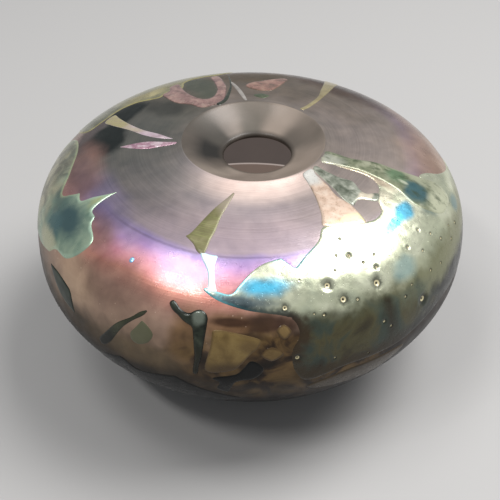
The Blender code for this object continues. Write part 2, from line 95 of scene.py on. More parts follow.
# ---- outlines of the bits: name, glass slot, proud, points ----
BITS = [
    # The front and the right side.
    ("silver_patch", "silver_lustre", 0.0, [
        (27, 20.5), (23, 24), (17, 27.4), (13, 30.4, SHARP), (9.5, 27, SHARP), (4, 28.2), (0, 30.8), (-3, 34.2),
        (-5, 36.6), (-8.5, 36.2), (-12, 35.6), (-12.3, 36.6), (-8, 38.9), (-1, 40.9), (5, 42), (10, 43.7),
        (11.5, 48), (9.5, 53), (10.5, 60), (14, 64.2), (23, 61.8), (39, 62.2), (56, 59.6), (82, 60), (98, 56),
        (108, 49), (102, 44.5), (93, 41), (86, 36), (82, 31), (78, 29), (75, 33), (69.5, 35), (66.8, 32),
        (65.6, 29), (66.6, 24), (66.4, 17), (65.6, 10.5), (63.4, 5.2), (62.2, 5.4), (63.2, 9.5), (64.2, 13.5),
        (63.4, 17.2), (60.6, 19.6), (57.6, 20.4), (54.4, 21.6), (51.3, 24.5), (47, 25.3), (43.4, 24.6, SHARP),
        (35, 21.2)]),
    ("silver_tail", "silver_lustre", 0.0, [
        (-17.0, 25.6, SHARP), (-13.4, 26.3), (-10, 26.4, SHARP), (-10.4, 30), (-9.3, 34.4), (-8.6, 36.9),
        (-11.6, 36.9), (-11.5, 34.9), (-12.6, 31.2), (-15.2, 28)]),
    ("salmon_strap", "salmon_lustre", 0.0, [
        (38.5, 0.6), (36, 4.3), (33, 10), (29.5, 16.5), (27.4, 20.4), (34, 22.8), (43, 25.4, SHARP), (44.2, 18.2),
        (43, 12.8), (45, 8.1), (46.4, 3.2), (49, 0.6)]),
    ("veil_strap", "grey_veil", 0.0, [
        (53.6, 0.8), (54, 4.2), (54.6, 8.5), (56.6, 12.4), (54.2, 15.8), (54.4, 18), (58, 20.2), (57, 21.7),
        (53.6, 21.9), (49, 18.2), (44.2, 18.4), (43.4, 14.5), (44.8, 10.5), (46.6, 4.1), (48.6, 0.8)]),
    ("green_strap", "green_lustre", 0.0, [
        (74.5, 0.6), (74, 8), (76.5, 15), (76.5, 22), (78, 29), (80, 35), (78, 40.4), (70, 40), (65.6, 36),
        (63.1, 30), (64.9, 23.5), (65.6, 17), (65.2, 11), (62.6, 5.5), (60, 0.7)]),
    ("olive_strap", "olive_glass", 0.0, [
        (-10.6, 4.6, SHARP), (-11.8, 9.4), (-13.1, 14), (-13.3, 18.8), (-14, 22.1), (-14.2, 24.9), (-14.8, 26.9),
        (-17.2, 26.5), (-19.6, 24.4), (-23.6, 22.6, SHARP), (-22.1, 20.9), (-20, 15.1), (-17.4, 10.1),
        (-12.2, 4.2, SHARP)]),
    # The left side.
    ("left_patch", "sea_green_lustre", 0.0, [
        (-60, 20.5, SHARP), (-62.5, 24.4), (-65, 28), (-66.8, 31.3), (-70.4, 30.6, SHARP), (-72.4, 33.4),
        (-75.4, 36), (-83, 32.8), (-94, 31.5), (-103, 34.5), (-107, 41), (-103, 48), (-94, 54), (-84, 56),
        (-77, 53), (-70, 51.2), (-63.5, 48.8, SHARP), (-60.5, 45.8), (-55, 44.9), (-51, 40.5), (-50, 35.5),
        (-55, 32.6), (-56.5, 30.6), (-59.6, 29.8), (-60.4, 25)]),
    ("left_leaf", "dark_green_glass", 0.0, [
        (-62, 50.8, SHARP), (-57, 55.4), (-53, 57.6), (-48, 58.6, SHARP), (-49, 54.4), (-50.6, 51.4), (-56.5, 50.2)]),
    ("olive_stroke", "dark_green_glass", 0.0, [
        (-25, 44.5, SHARP), (-27.2, 45.7), (-29.5, 48.2), (-33.3, 51.7), (-36.5, 56.4), (-39.3, 61), (-38, 62.7),
        (-35.3, 59.8), (-33, 55.4), (-31, 51.9), (-28.6, 49), (-26, 46.5)]),
    ("round_leaf", "olive_glass", 0.0, [
        (-26.4, 47.8, SHARP), (-28, 50.6), (-29.3, 52.9), (-29, 55.2), (-27, 56), (-24.3, 54.2), (-23, 51.2),
        (-24.4, 49.1)]),
    ("dark_drop", "steel_green_glass", 0.5, [
        (-20.3, 41.3), (-19.5, 40.3), (-18.4, 40.8), (-17.2, 42), (-15.6, 42.7), (-14.5, 42.6), (-13.6, 41.9),
        (-12.2, 41.4), (-10.9, 41.9), (-10.1, 43.2), (-10.1, 45), (-10.4, 48.6), (-11.1, 54.6), (-11.8, 57.9),
        (-12, 60.4), (-12.7, 61.4), (-13.4, 60.8), (-13.2, 58), (-12.9, 55), (-13.3, 49.1), (-13.8, 46.4),
        (-15.2, 45.6), (-16.4, 44.9), (-17.6, 43.9), (-19.2, 42.9)]),
    ("blue_dot", "blue_glass", 0.0, [
        (-36, 34.2), (-35, 33.1), (-34, 34.2), (-35, 35.3)]),
    # Low on the front.
    ("amber_patch", "amber_glass", 0.0, [
        (-9, 46.4, SHARP), (-6, 46), (2, 48), (2.2, 50.6), (0, 53.2), (-3, 57.8), (-6, 59.4), (-9, 60),
        (-10.6, 58.4), (-9.3, 51)]),
    ("amber_fleck_upper", "amber_glass", 0.0, [
        (6, 46.4), (8, 44.6), (9.9, 46.8), (8, 49)]),
    ("amber_fleck_lower", "amber_glass", 0.0, [
        (2.4, 53), (5, 50.6), (8, 53), (5, 55.4)]),
    ("amber_band", "amber_glass", 0.0, [
        (14.5, 66.3), (23, 63.5), (31, 63.4), (40, 64.2), (41, 66), (38, 69), (33, 72.5), (20, 71), (14.5, 69)]),
    ("base_trail_left", "slate_glass", 0.0, [
        (-39, 67), (-36, 65.3), (-33, 63.5, SHARP), (-31, 64.3), (-28.5, 66.5), (-22, 64.8), (-18, 63.4, SHARP),
        (-12, 67.4), (-6, 70.6), (-2, 73), (-6, 77.5), (-14, 80), (-24, 82), (-34, 81), (-41, 77), (-42.5, 71)]),
    ("base_trail_front", "slate_glass", 0.0, [
        (-9, 62.2), (-8, 61.2), (-5, 60.3), (-2.6, 59), (0, 54.8), (2.6, 56.2), (3.2, 58.6), (1, 61.5), (-3, 62.8),
        (-4.4, 66), (-5.4, 68.6), (-8, 66.6), (-7.3, 63.6)]),
    # Behind the mouth and at the back left.
    ("pink_streak_long", "pink_lustre", 0.0, [
        (-91.5, 1.2, SHARP), (-99, 6.4), (-103.4, 12), (-108.4, 17.4), (-114, 23.4), (-117, 27), (-111.5, 28),
        (-108, 23.9), (-103, 16.5), (-98, 11.4), (-94, 6.4)]),
    ("pink_streak_short", "pink_lustre", 0.0, [
        (-88, 1.3), (-90.4, 5.5), (-91.8, 10.2), (-90, 18.2, SHARP), (-84.6, 10.5), (-84.4, 5.5), (-85, 1.3)]),
    ("gold_edge_patch", "gold_lustre", 0.0, [
        (-107, 32), (-112.8, 28.9), (-121.5, 27.2), (-127.5, 24.6), (-131, 21.4), (-135, 19.4), (-140, 20.4),
        (-145.4, 18.8), (-149, 21), (-152, 24.8), (-158, 27), (-168, 27.5), (-174, 34), (-168, 42), (-150, 47),
        (-130, 46), (-115, 42), (-109, 37)]),
    ("pink_patch", "pink_lustre", 0.0, [
        (-137, 20.6), (-134.5, 15), (-134, 11), (-137, 7), (-139.5, 2.6), (-148, 1.4), (-157, 1.8), (-160.8, 4.4),
        (-166, 11), (-167, 18), (-166.5, 25), (-162.8, 24.6), (-162, 18), (-160, 11.5), (-154.5, 7.4),
        (-148.5, 7.4), (-146, 11), (-146.4, 17), (-149.5, 24.8), (-144.5, 25), (-141.5, 21.6)]),
    ("back_sliver", "silver_lustre", 0.0, [
        (-169.2, 15.6), (-171.2, 15.8), (-175.8, 2.2), (-172.6, 2)]),
    ("back_fleck_pink", "pink_lustre", 0.0, [
        (182, 14.3), (173, 18), (165, 22), (163, 19), (167, 9.9), (176, 8.4), (183, 11)]),
    ("back_fleck_green", "green_lustre", 0.0, [
        (180, 4.9), (174, 6.6), (168, 5.2), (173, 2.9)]),
    ("gold_strap_back", "gold_lustre", 0.0, [
        (141, 1.3), (141, 5.3), (142.5, 12.5), (146.5, 19.5), (151, 30), (153, 36), (148, 36.4), (145, 28),
        (140.5, 16), (137.5, 7), (137, 1.4)]),
    # Round the back.
    ("back_patch", "silver_lustre", 0.0, [
        (138, 40.5), (150, 38.2), (160, 40), (172, 37.5), (183, 42), (186, 50), (176, 56), (165, 53), (152, 58),
        (139, 55), (131, 48)]),
    ("back_leaf", "dark_green_glass", 0.0, [
        (112, 60, SHARP), (119, 59), (125, 62), (126, 67), (120, 68.5), (114.5, 65)]),
    ("back_drop", "steel_green_glass", 0.5, [
        (-127, 51), (-124.5, 53), (-126, 58), (-130, 64), (-134, 68, SHARP), (-131.5, 60), (-130, 54)]),
    ("base_trail_back", "slate_glass", 0.0, [
        (150, 66), (160, 69), (172, 66.5), (184, 68), (190, 73), (180, 77.5), (166, 79), (152, 76), (145, 71)]),
]

# ---- the outside as a smooth surface ----


def shoulder_height(radius):
    """Height of the shoulder at a radius, with the small rise of the lip."""
    share = (1 - (radius / BODY_RADIUS) ** SHOULDER_POWER) ** (1 / SHOULDER_POWER)
    lip_share = (1 - (LIP_RADIUS / BODY_RADIUS) ** SHOULDER_POWER) ** (1 / SHOULDER_POWER)
    lip_rise = LIP_HEIGHT - EQUATOR_HEIGHT - SHOULDER_RISE * lip_share
    blend = np.maximum(0.0, 1 - (radius - LIP_RADIUS) / LIP_FILLET)
    return EQUATOR_HEIGHT + SHOULDER_RISE * share + lip_rise * blend ** 2


def outside_line(count=3000):
    """(drop, radius, height) down the outside from the lip to the foot."""
    angle = np.linspace(0, math.pi / 2, count)
    upper = np.minimum(BODY_RADIUS * np.sin(angle) ** (2 / SHOULDER_POWER), BODY_RADIUS)
    upper = np.concatenate([[LIP_RADIUS], upper[upper > LIP_RADIUS]])
    lower = BODY_RADIUS * np.maximum(np.cos(angle[1:]), 0) ** (2 / BELLY_POWER)
    fall = EQUATOR_HEIGHT - BELLY_FALL * np.sin(angle[1:]) ** (2 / BELLY_POWER)
    radius = np.concatenate([upper, lower[fall > 0]])
    height = np.concatenate([shoulder_height(upper), fall[fall > 0]])
    steps = np.hypot(np.diff(radius), np.diff(height))
    return np.concatenate([[0], np.cumsum(steps)]), radius, height


LINE_DROP, LINE_RADIUS, LINE_HEIGHT = outside_line()
FOOT_DROP = LINE_DROP[-1]


def line_at(drop):
    """Radius and height of the outside at a drop."""
    return np.interp(drop, LINE_DROP, LINE_RADIUS), np.interp(drop, LINE_DROP, LINE_HEIGHT)


def degree_at(drop):
    """How long one degree of azimuth is at a drop."""
    return math.radians(1) * np.interp(drop, LINE_DROP, LINE_RADIUS)


def wobble(azimuth, drop):
    """Slight unevenness of hand-worked glass, always inward."""
    a = np.radians(azimuth)
    wave = (np.sin(3 * a + 0.8 + drop * 0.03) * np.sin(drop * 0.09 + 0.5)
            + 0.6 * np.sin(5 * a - 1.1) * np.sin(drop * 0.14 + 2.0)
            + 0.35 * np.sin(9 * a + drop * 0.11))
    fade = np.clip(drop / 8, 0, 1) * np.clip((FOOT_DROP - drop) / 12, 0, 1)
    return -WOBBLE * fade * (WAVE_SUM + wave) / WAVE_SUM


def on_glass(azimuth, drop, above=0.0):
    """Points of the outside, moved outward by above."""
    azimuth, drop = np.asarray(azimuth, float), np.asarray(drop, float)
    radius, height = line_at(drop)
    dr, dz = np.subtract(line_at(drop + SLOPE_STEP), line_at(drop - SLOPE_STEP))
    length = np.hypot(dr, dz)
    out = above + wobble(azimuth, drop)
    radius = radius - dz / length * out
    height = height + dr / length * out
    a = np.radians(azimuth)
    shift = MOUTH_SHIFT * np.clip(1 - drop / SHIFT_FADE, 0, 1) ** 2
    return np.stack([radius * np.sin(a) + shift, -radius * np.cos(a), height], axis=-1)


# ---- meshes ----


def mesh_object(name, points, faces, materials, place=None, pit=None, face_materials=None):
    """A smooth mesh. place is each point's (azimuth, drop, distance to the bit's edge); pit is its reach from the
    nearest crater's middle, 1 at the crater's rim."""
    mesh = bpy.data.meshes.new(name)
    mesh.from_pydata((np.asarray(points) * MM).tolist(), [], [list(map(int, f)) for f in faces])
    mesh.validate()
    for key, kind, slot, values in (("place", "FLOAT_VECTOR", "vector", place), ("pit", "FLOAT", "value", pit)):
        if values is not None:
            kept = mesh.attributes.new(key, kind, "POINT")
            kept.data.foreach_set(slot, np.asarray(values, np.float32).ravel())
    for material in materials:
        mesh.materials.append(material)
    if face_materials is not None:
        mesh.polygons.foreach_set("material_index", np.asarray(face_materials, np.int32))
    mesh.shade_smooth()
    made = bpy.data.objects.new(name, mesh)
    bpy.context.scene.collection.objects.link(made)
    return made


def smooth_outline(points, steps=6):
    """A closed curve through the points, straight into and out of each sharp corner."""
    count = len(points)
    smooth = []
    for i in range(count):
        start, end = points[i], points[(i + 1) % count]
        before = start if len(start) > 2 else points[i - 1]
        after = end if len(end) > 2 else points[(i + 2) % count]
        p0, p1, p2, p3 = (np.array(p[:2], float) for p in (before, start, end, after))
        for t in np.arange(steps) / steps:
            smooth.append(0.5 * (2 * p1 + (p2 - p0) * t + (2 * p0 - 5 * p1 + 4 * p2 - p3) * t ** 2
                                 + (3 * p1 - p0 - 3 * p2 + p3) * t ** 3))
    return np.array(smooth)


def even_outline(outline, spacing):
    """The closed outline with its points about spacing apart."""
    closed = np.vstack([outline, outline[:1]])
    solid = on_glass(closed[:, 0], closed[:, 1])
    run = np.concatenate([[0], np.cumsum(np.linalg.norm(np.diff(solid, axis=0), axis=1))])
    count = max(12, int(round(run[-1] / spacing)))
    wanted = np.arange(count) * run[-1] / count
    return np.stack([np.interp(wanted, run, closed[:, i]) for i in (0, 1)], axis=-1)


def edge_distance(places, outline):
    """Distance on the glass from each place to the outline."""
    solid, edge = on_glass(places[:, 0], places[:, 1]), on_glass(outline[:, 0], outline[:, 1])
    along = np.roll(edge, -1, axis=0) - edge
    size = np.maximum((along ** 2).sum(1), 1e-9)
    best = np.full(len(places), 1e9)
    for start, side, square in zip(edge, along, size):
        t = np.clip(((solid - start) @ side) / square, 0, 1)
        best = np.minimum(best, np.linalg.norm(solid - start - t[:, None] * side, axis=1))
    return best


def inside(places, outline):
    """Which places lie inside the outline."""
    x, y = places[:, 0], places[:, 1]
    odd = np.zeros(len(places), bool)
    for (x0, y0), (x1, y1) in zip(outline, np.roll(outline, -1, axis=0)):
        if y0 != y1:
            odd ^= ((y0 > y) != (y1 > y)) & (x < (x1 - x0) * (y - y0) / (y1 - y0) + x0)
    return odd


def filling(outline, spacing):
    """Places inside the outline, in even rows."""
    low, high = outline.min(0), outline.max(0)
    found = []
    row, drop = 0, low[1]
    while drop < high[1]:
        step = spacing / degree_at(drop)
        azimuths = np.arange(low[0] + (row % 2) * step / 2, high[0], step)
        found.append(np.stack([azimuths, np.full(len(azimuths), drop)], axis=-1))
        drop += spacing * 0.87
        row += 1
    grid = np.vstack(found)
    return grid[inside(grid, outline)]


def edge_rings(outline):
    """Places just inside the outline, along it, so that the melted edge is even."""
    degree = degree_at(outline[:, 1])
    along = np.roll(outline, -1, axis=0) - np.roll(outline, 1, axis=0)
    along[:, 0] *= degree
    along /= np.maximum(np.linalg.norm(along, axis=1), 1e-9)[:, None]
    x, y = outline[:, 0] * degree.mean(), outline[:, 1]
    turn = np.sign((x * np.roll(y, -1) - np.roll(x, -1) * y).sum())
    inward = turn * np.stack([-along[:, 1] / degree, along[:, 0]], axis=-1)
    rings = []
    for offset in EDGE_RINGS:
        moved = outline + inward * offset
        moved = moved[inside(moved, outline)]
        rings.append(moved[edge_distance(moved, outline) > 0.93 * offset])
    return rings


def crater_reach(places, azimuth, drop):
    """Distance of each place from a crater's middle."""
    return np.hypot((places[:, 0] - azimuth) * degree_at(drop), places[:, 1] - drop)


def crater_relief(places, craters):
    """Burst bubbles: a round pit with a raised rim and a small deeper eye."""
    relief = np.zeros(len(places))
    for azimuth, drop, size, depth in craters:
        q = crater_reach(places, azimuth, drop) / size
        relief -= depth * np.clip(1 - q ** 2, 0, 1) ** 1.5
        relief += 0.5 * depth * np.exp(-((q - 0.36) / 0.12) ** 2) - 0.3 * depth * np.exp(-(q / 0.2) ** 2)
        relief += 0.12 * depth * np.exp(-((q - 1.2) / 0.3) ** 2)
    return relief


def inner_places(outline, spacing, craters):
    """Places inside a bit's outline: rows, closer near the edge, with rings along it and round each crater."""
    wide, fine = filling(outline, spacing), filling(outline, spacing * 0.5)
    wide_edge, fine_edge = edge_distance(wide, outline), edge_distance(fine, outline)
    near, far = EDGE_RINGS[-1] + 0.3, 1.3 * spacing
    found = [wide[wide_edge > max(near, far)], fine[(fine_edge > near) & (fine_edge <= far)], *edge_rings(outline)]
    for azimuth, drop, size, _ in craters:
        ring = [(azimuth, drop)]
        for share, count in CRATER_RINGS:
            for k in range(count):
                turn = 2 * math.pi * (k + 0.5 * (count % 4 == 2)) / count
                ring.append((azimuth + share * size * math.cos(turn) / degree_at(drop),
                             drop + share * size * math.sin(turn)))
        ring = np.array(ring)
        found = [part[crater_reach(part, azimuth, drop) > CRATER_CLEAR * size] for part in found]
        found.append(ring[inside(ring, outline)])
    found = np.vstack(found)
    return found[edge_distance(found, outline) > EDGE_CLEAR]


def bit_mesh(name, points, proud, material, craters=(), spacing=1.1):
    """A closed, thin piece of glass melted into the wall: a rounded top, a tucked edge and an under side."""
    outline = even_outline(smooth_outline(points), min(0.5, spacing * 0.6))
    degree = degree_at(outline[:, 1].mean())
    flat = [Vector((a * degree, d)) for a, d in np.vstack([outline, inner_places(outline, spacing, craters)])]
    rim = len(outline)
    edges = [(i, (i + 1) % rim) for i in range(rim)]
    verts, _, faces, _, _, _ = delaunay_2d_cdt(flat, edges, [list(range(rim))], 1, 1e-5)
    places = np.array([(v.x / degree, v.y) for v in verts])
    count = len(places)
    edge = edge_distance(places, outline)
    share = np.clip(edge / EDGE_ROUNDING, 0, 1)
    above = -EDGE_TUCK + (proud + EDGE_TUCK) * share * (2 - share)
    above = above + crater_relief(places, craters) * np.clip(edge, 0, 1)
    top = on_glass(places[:, 0], places[:, 1], above)
    under = on_glass(places[:, 0], places[:, 1], np.full(count, -BIT_DEPTH))
    shell = []
    for a, b, c in faces:
        area = np.cross(places[b] - places[a], places[c] - places[a])
        shell.append((a, b, c) if area < 0 else (a, c, b))
    sides = [(face[i], face[(i + 1) % 3]) for face in shell for i in range(3)]
    shared = set(sides)
    everything = shell + [(a + count, c + count, b + count) for a, b, c in shell]
    everything += [(b, a, a + count, b + count) for a, b in sides if (b, a) not in shared]
    pit = np.full(count, NO_PIT)
    for azimuth, drop, size, _ in craters:
        pit = np.minimum(pit, crater_reach(places, azimuth, drop) / size)
    place = np.column_stack([places, edge])
    return mesh_object(name, np.vstack([top, under]), everything, [material], np.vstack([place, place]),
                       np.tile(pit, 2))


def vessel_profile():
    """(radius, height, drop, zone) of the whole turned section, from the cavity's floor out and round."""
    line = []
    heights = [EQUATOR_HEIGHT - CAVITY_FALL * math.cos(math.radians(angle)) for angle in np.linspace(0, 90, 40)]
    for height in sorted(heights + [LIT_LOW_TOP, LIT_LOW_TOP + GLINT_WIDTH]):
        fall = (EQUATOR_HEIGHT - height) / CAVITY_FALL
        zone = LIT_LOW_INSIDE if height <= LIT_LOW_TOP else INSIDE_GLINT if height <= LIT_LOW_TOP + GLINT_WIDTH else INSIDE
        line.append((CAVITY_RADIUS * math.sqrt(max(0.0, 1 - fall ** 2)), height, INSIDE_DROP, zone))
    for t in np.linspace(0, 1, 40)[1:-1]:
        angle = math.pi / 2 * (1 - t)
        radius = CAVITY_RADIUS * math.sin(angle) ** (2 / SHOULDER_POWER)
        if radius >= THROAT_RADIUS + 2 * THROAT_NOSE:
            height = EQUATOR_HEIGHT + CAVITY_RISE * math.cos(angle) ** (2 / SHOULDER_POWER)
            line.append((radius, height, INSIDE_DROP, INSIDE))
    middle = THROAT_RADIUS + THROAT_NOSE
    line.append((middle + THROAT_NOSE, EQUATOR_HEIGHT + CAVITY_RISE, 0, INSIDE))
    for angle in np.radians(np.linspace(270, 90 + FUNNEL_SLOPE, 12)):
        line.append((middle + THROAT_NOSE * math.cos(angle), THROAT_HEIGHT + THROAT_NOSE * math.sin(angle), 0, MOUTH))
    start = line[-1]
    (end_in, end_down), (turn_in, turn_down) = LIP_ROUND
    for t in np.linspace(0, 1, 16)[1:]:
        sag = -FUNNEL_SAG * math.sin(math.pi * t)
        line.append((start[0] + (LIP_RADIUS - end_in - start[0]) * t,
                     start[1] + (LIP_HEIGHT - end_down - start[1]) * t + sag, 0, MOUTH))
    line.append((LIP_RADIUS - turn_in, LIP_HEIGHT - turn_down, 0, MOUTH))
    for drop in np.concatenate([np.arange(0, 8, 0.5), np.linspace(8, FOOT_DROP, 130)]):
        line.append((*line_at(drop), drop, OUTSIDE))
    foot = line[-1][0]
    line.append((foot - 0.4, 0.0, FOOT_DROP + 0.5, OUTSIDE))
    for radius in np.linspace(foot - 1.5, PONTIL_RADIUS, 6):
        line.append((radius, 0.0, FOOT_DROP + foot - radius, OUTSIDE))
    for angle in np.linspace(0, math.pi / 2, 14)[1:]:
        radius = PONTIL_RADIUS * math.cos(angle)
        line.append((radius, PONTIL_DEPTH * math.sin(angle), FOOT_DROP + foot - radius, FOOT))
    return line


def sink_under(outlines, azimuths, drops):
    """How far the wall's skin is sunk, well inside the outlines of the pitted bits."""
    places = np.stack([azimuths, drops], axis=-1)
    sunk = np.zeros(len(places))
    for outline in outlines:
        for turn in (0, 360):
            moved = places + (turn, 0)
            near = inside(moved, outline)
            if near.any():
                deep = edge_distance(moved[near], outline)
                sunk[near] = np.maximum(sunk[near], SEAT_DEPTH * np.clip(deep - SEAT_MARGIN, 0, 1))
    return sunk


def off_axis(height, zone):
    """How far a ring of the mouth or the inside stands to the right of the axis."""
    low = np.clip((LIP_HEIGHT - height) / (LIP_HEIGHT - THROAT_HEIGHT), 0, 1)
    start, rise = INSIDE_SHIFT
    fade = 1.0 if zone == MOUTH else np.clip((height - start) / rise, 0, 1) ** 2
    return (MOUTH_SHIFT + THROAT_SHIFT * low) * fade


def vessel_mesh(materials):
    """The whole body of glass, turned from its profile."""
    line = vessel_profile()
    pitted = [smooth_outline(points) for name, _, _, points in BITS if name in PITTED]
    azimuths = np.arange(TURN_STEPS) * 360.0 / TURN_STEPS - 180
    a = np.radians(azimuths)
    points, place, rings = [], [], []
    for radius, height, drop, zone in line:
        count = TURN_STEPS if radius > 1e-4 else 1
        rings.append(list(range(len(points), len(points) + count)))
        drops = np.full(count, float(drop))
        if count == 1:
            ring = np.array([(0, 0, height)])
        elif zone == OUTSIDE and drop <= FOOT_DROP:
            ring = on_glass(azimuths, drops, -sink_under(pitted, azimuths, drops))
        else:
            ring = np.stack([radius * np.sin(a) + off_axis(height, zone), -radius * np.cos(a),
                             np.full(count, height)], axis=-1)
        points.extend(ring.tolist())
        place.extend(zip(azimuths if count > 1 else [0], drops, np.full(count, 5.0)))
    faces, zones = [], []
    for upper, lower, row in zip(rings, rings[1:], line[1:]):
        for i in range(TURN_STEPS):
            j = (i + 1) % TURN_STEPS
            if len(upper) == 1:
                faces.append((upper[0], lower[i], lower[j]))
            elif len(lower) == 1:
                faces.append((upper[j], upper[i], lower[0]))
            else:
                faces.append((upper[j], upper[i], lower[i], lower[j]))
            zones.append(row[3])
    return mesh_object("vessel", points, faces, materials, place, face_materials=zones)


# ---- materials ----


def tone(red, green, blue):
    """Linear colour from a swatch written in 0 to 255."""
    made = []
    for value in (red, green, blue):
        v = value / 255
        made.append(v / 12.92 if v <= 0.04045 else ((v + 0.055) / 1.055) ** 2.4)
    return (*made, 1.0)


class Recipe:
    """Writes one material's nodes. A number or a node's output can stand wherever a value is asked for."""

    def __init__(self, name):
        self.material = bpy.data.materials.new(name)
        self.material.use_nodes = True
        self.tree = self.material.node_tree
        self.shader = self.tree.nodes["Principled BSDF"]
        self.ragged_noise = None
        kept = self.add("Attribute", attribute_name="place")
        parts = self.add("SeparateXYZ", {0: kept.outputs["Vector"]})
        body = self.add("TexCoord").outputs["Object"]
        self.body = self.add("VectorMath", {0: body, 3: 1 / MM}, operation="SCALE").outputs[0]
        axes = self.add("SeparateXYZ", {0: self.body})
        back = self.times(axes.outputs["Y"], -1.0)
        self.azimuth = self.math("DEGREES", self.math("ARCTAN2", axes.outputs["X"], back))
        self.drop = parts.outputs["Y"]
        self.edge = parts.outputs["Z"]
        self.height = axes.outputs["Z"]

    def add(self, kind, sockets=None, **settings):
        """A new node with these sockets and settings."""
        node = self.tree.nodes.new("ShaderNode" + kind)
        for key, value in settings.items():
            setattr(node, key, value)
        for key, value in (sockets or {}).items():
            self.put(node.inputs[key], value)
        return node

    def put(self, socket, value):
        if isinstance(value, bpy.types.NodeSocket):
            self.tree.links.new(value, socket)
        else:
            socket.default_value = value

    def math(self, operation, a, b=0.0, clamp=False):
        return self.add("Math", {0: a, 1: b}, operation=operation, use_clamp=clamp).outputs[0]

    def times(self, a, b):
        return self.math("MULTIPLY", a, b)

    def plus(self, a, b):
        return self.math("ADD", a, b)

    def minus(self, a, b):
        return self.math("SUBTRACT", a, b)

    def swing(self, noise, amount):
        """A noise made to swing round zero."""
        return self.times(self.minus(noise, 0.5), amount)

    def mix(self, share, a, b, blend="MIX"):
        return self.add("Mix", {0: share, 6: a, 7: b}, data_type="RGBA", blend_type=blend).outputs[2]

    def tint(self, share, weight, colour, swatch):
        """The colour with a swatch laid over it by share times weight."""
        return self.mix(self.times(share, weight), colour, tone(*swatch))

    def shaded(self, colour, shade):
        """The colour times a plain shade."""
        grey = self.add("CombineXYZ", {0: shade, 1: shade, 2: shade}).outputs[0]
        return self.mix(1.0, colour, grey, "MULTIPLY")

    def noise(self, scale, detail=2.0, vector=None, warp=0.0, rough=0.5):
        node = self.add("TexNoise", {"Vector": vector or self.body, "Scale": scale, "Detail": detail,
                                     "Roughness": rough, "Distortion": warp})
        return node.outputs["Fac"]

    def span(self, value, low, high, out_low=0.0, out_high=1.0):
        """A value eased from out_low at low to out_high at high."""
        sockets = {0: value, 1: low, 2: high, 3: out_low, 4: out_high}
        return self.add("MapRange", sockets, interpolation_type="SMOOTHSTEP").outputs[0]

    def ramp(self, value, stops):
        node = self.add("ValToRGB", {0: value})
        while len(node.color_ramp.elements) < len(stops):
            node.color_ramp.elements.new(0.5)
        for element, (position, swatch) in zip(node.color_ramp.elements, stops):
            element.position = position
            element.color = tone(*swatch)
        return node.outputs[0]

    def clouds(self, grain, tones, detail=3.0, warp=0.0):
        """Clouds of the swatches from 0.3 to 0.7 of a noise, or of (position, swatch) stops."""
        if len(tones[0]) == 3:
            tones = list(zip(np.linspace(0.3, 0.7, len(tones)), tones))
        return self.ramp(self.noise(grain, detail, warp=warp), tones)

    def ring_space(self, along, round_scale):
        """Coordinates stretched round the axis, for brush lines: drop times along, and a slow turn."""
        turn = self.math("RADIANS", self.azimuth)
        x = self.times(self.math("SINE", turn), round_scale)
        y = self.times(self.math("COSINE", turn), round_scale)
        return self.add("CombineXYZ", {0: x, 1: y, 2: self.times(self.drop, along)}).outputs[0]

    def spot(self, azimuth, drop, half_azimuth, half_drop, soft=0.6, ragged=0.25, grain=0.12):
        """A soft-edged patch of influence round a place on the glass."""
        self.ragged_noise = self.ragged_noise or self.noise(grain, 3.0)
        turned = self.minus(self.azimuth, azimuth)
        wrapped = self.add("Math", {0: turned, 1: 180.0, 2: -180.0}, operation="WRAP").outputs[0]
        a = self.math("DIVIDE", wrapped, half_azimuth)
        d = self.math("DIVIDE", self.minus(self.drop, drop), half_drop)
        reach = self.math("SQRT", self.plus(self.times(a, a), self.times(d, d)))
        reach = self.plus(reach, self.swing(self.ragged_noise, ragged * 4))
        return self.span(reach, 1 + soft / 2, 1 - soft / 2)

    def paint(self, colour, places, ragged=0.25, grain=0.12):
        """The colour with places laid over it in turn.

        Each is (azimuth, drop, half width in degrees, half height, swatch, weight, softness), and may add its own
        raggedness.
        """
        for azimuth, drop, half_azimuth, half_drop, swatch, weight, soft, *own in places:
            patch = self.spot(azimuth, drop, half_azimuth, half_drop, soft, own[0] if own else ragged, grain)
            colour = self.tint(patch, weight, colour, swatch)
        return colour

    def low_down(self, value, least):
        """value on top, fading to a share of it towards the foot."""
        return self.span(self.drop, 33, 50, value, value * least)

    def specks(self, scale, size, share):
        """Small round grains in this share of the cells: 1 on a grain."""
        cells = self.add("TexVoronoi", {"Vector": self.body, "Scale": scale})
        grain = self.span(cells.outputs["Distance"], size, size * 0.6)
        pick = self.add("SeparateColor", {0: cells.outputs["Color"]}).outputs[0]
        return self.times(grain, self.math("LESS_THAN", pick, share))

    def bump(self, height, strength, distance, normal=None):
        sockets = {"Height": height, "Strength": strength, "Distance": distance}
        if normal is not None:
            sockets["Normal"] = normal
        return self.add("Bump", sockets).outputs[0]

    def done(self, colour, metallic, roughness, coat=0.0, coat_roughness=0.08, normal=None, specular=0.5):
        """Fills in the shader; every colour darkens towards the foot, painted shade for the shadowed floor the low
        sides face.
        """
        put = self.shader.inputs
        # painted shade: every colour falls to half towards the foot
        self.put(put["Base Color"], self.shaded(colour, self.span(self.drop, 54, 68, 1.0, 0.5)))
        self.put(put["Metallic"], metallic)
        self.put(put["Roughness"], roughness)
        self.put(put["Coat Weight"], coat)
        put["Coat Roughness"].default_value = coat_roughness
        put["Specular IOR Level"].default_value = specular
        if normal is not None:
            self.put(put["Normal"], normal)
            self.put(put["Coat Normal"], normal)
        return self.material


